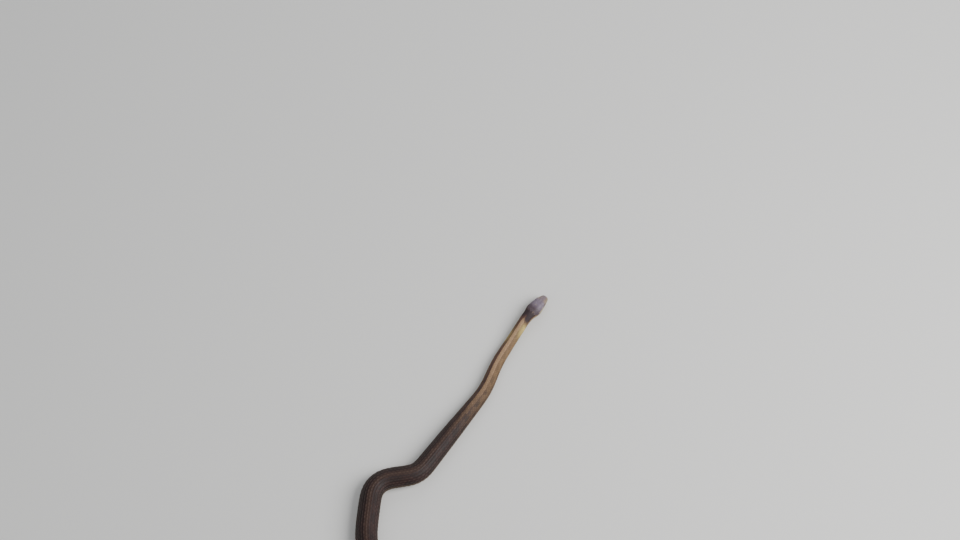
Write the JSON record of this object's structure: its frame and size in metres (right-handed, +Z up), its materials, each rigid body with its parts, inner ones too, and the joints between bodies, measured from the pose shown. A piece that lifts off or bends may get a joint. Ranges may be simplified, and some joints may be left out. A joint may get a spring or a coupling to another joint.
{
  "type": "garter snake",
  "caption": "Still life-size garter snake: keeled back with pale stripes, shielded head, round dark eyes, tapering tail; lies on its belly in loose bends.",
  "frame": {"origin": "on the floor, under the middle of the snake's bounding box", "axes": "+Z up from the floor the belly lies on, +Y along the longest extent towards the head, +X to the right seen from the tail end"},
  "size_m": [0.1551, 0.4298, 0.016],
  "materials": {
    "head": "smooth slate-grey head shields with a low satin gloss",
    "jaw": "smooth cream lip and chin scales, dark at their seams",
    "body": "keeled dark brown scales with a tan stripe down the back, satin",
    "eye": "wet gloss, coppery iris round a black round pupil"
  },
  "bodies": {
    "root": {"head": "head", "lower_jaw": "jaw", "eye_left": "eye", "eye_right": "eye", "neck": "body", "torso_1": "body", "torso_2": "body", "torso_3": "body", "torso_4": "body", "torso_5": "body", "torso_6": "body", "tail_1": "body", "tail_2": "body", "tail_3": "body"}
  },
  "joints": []
}
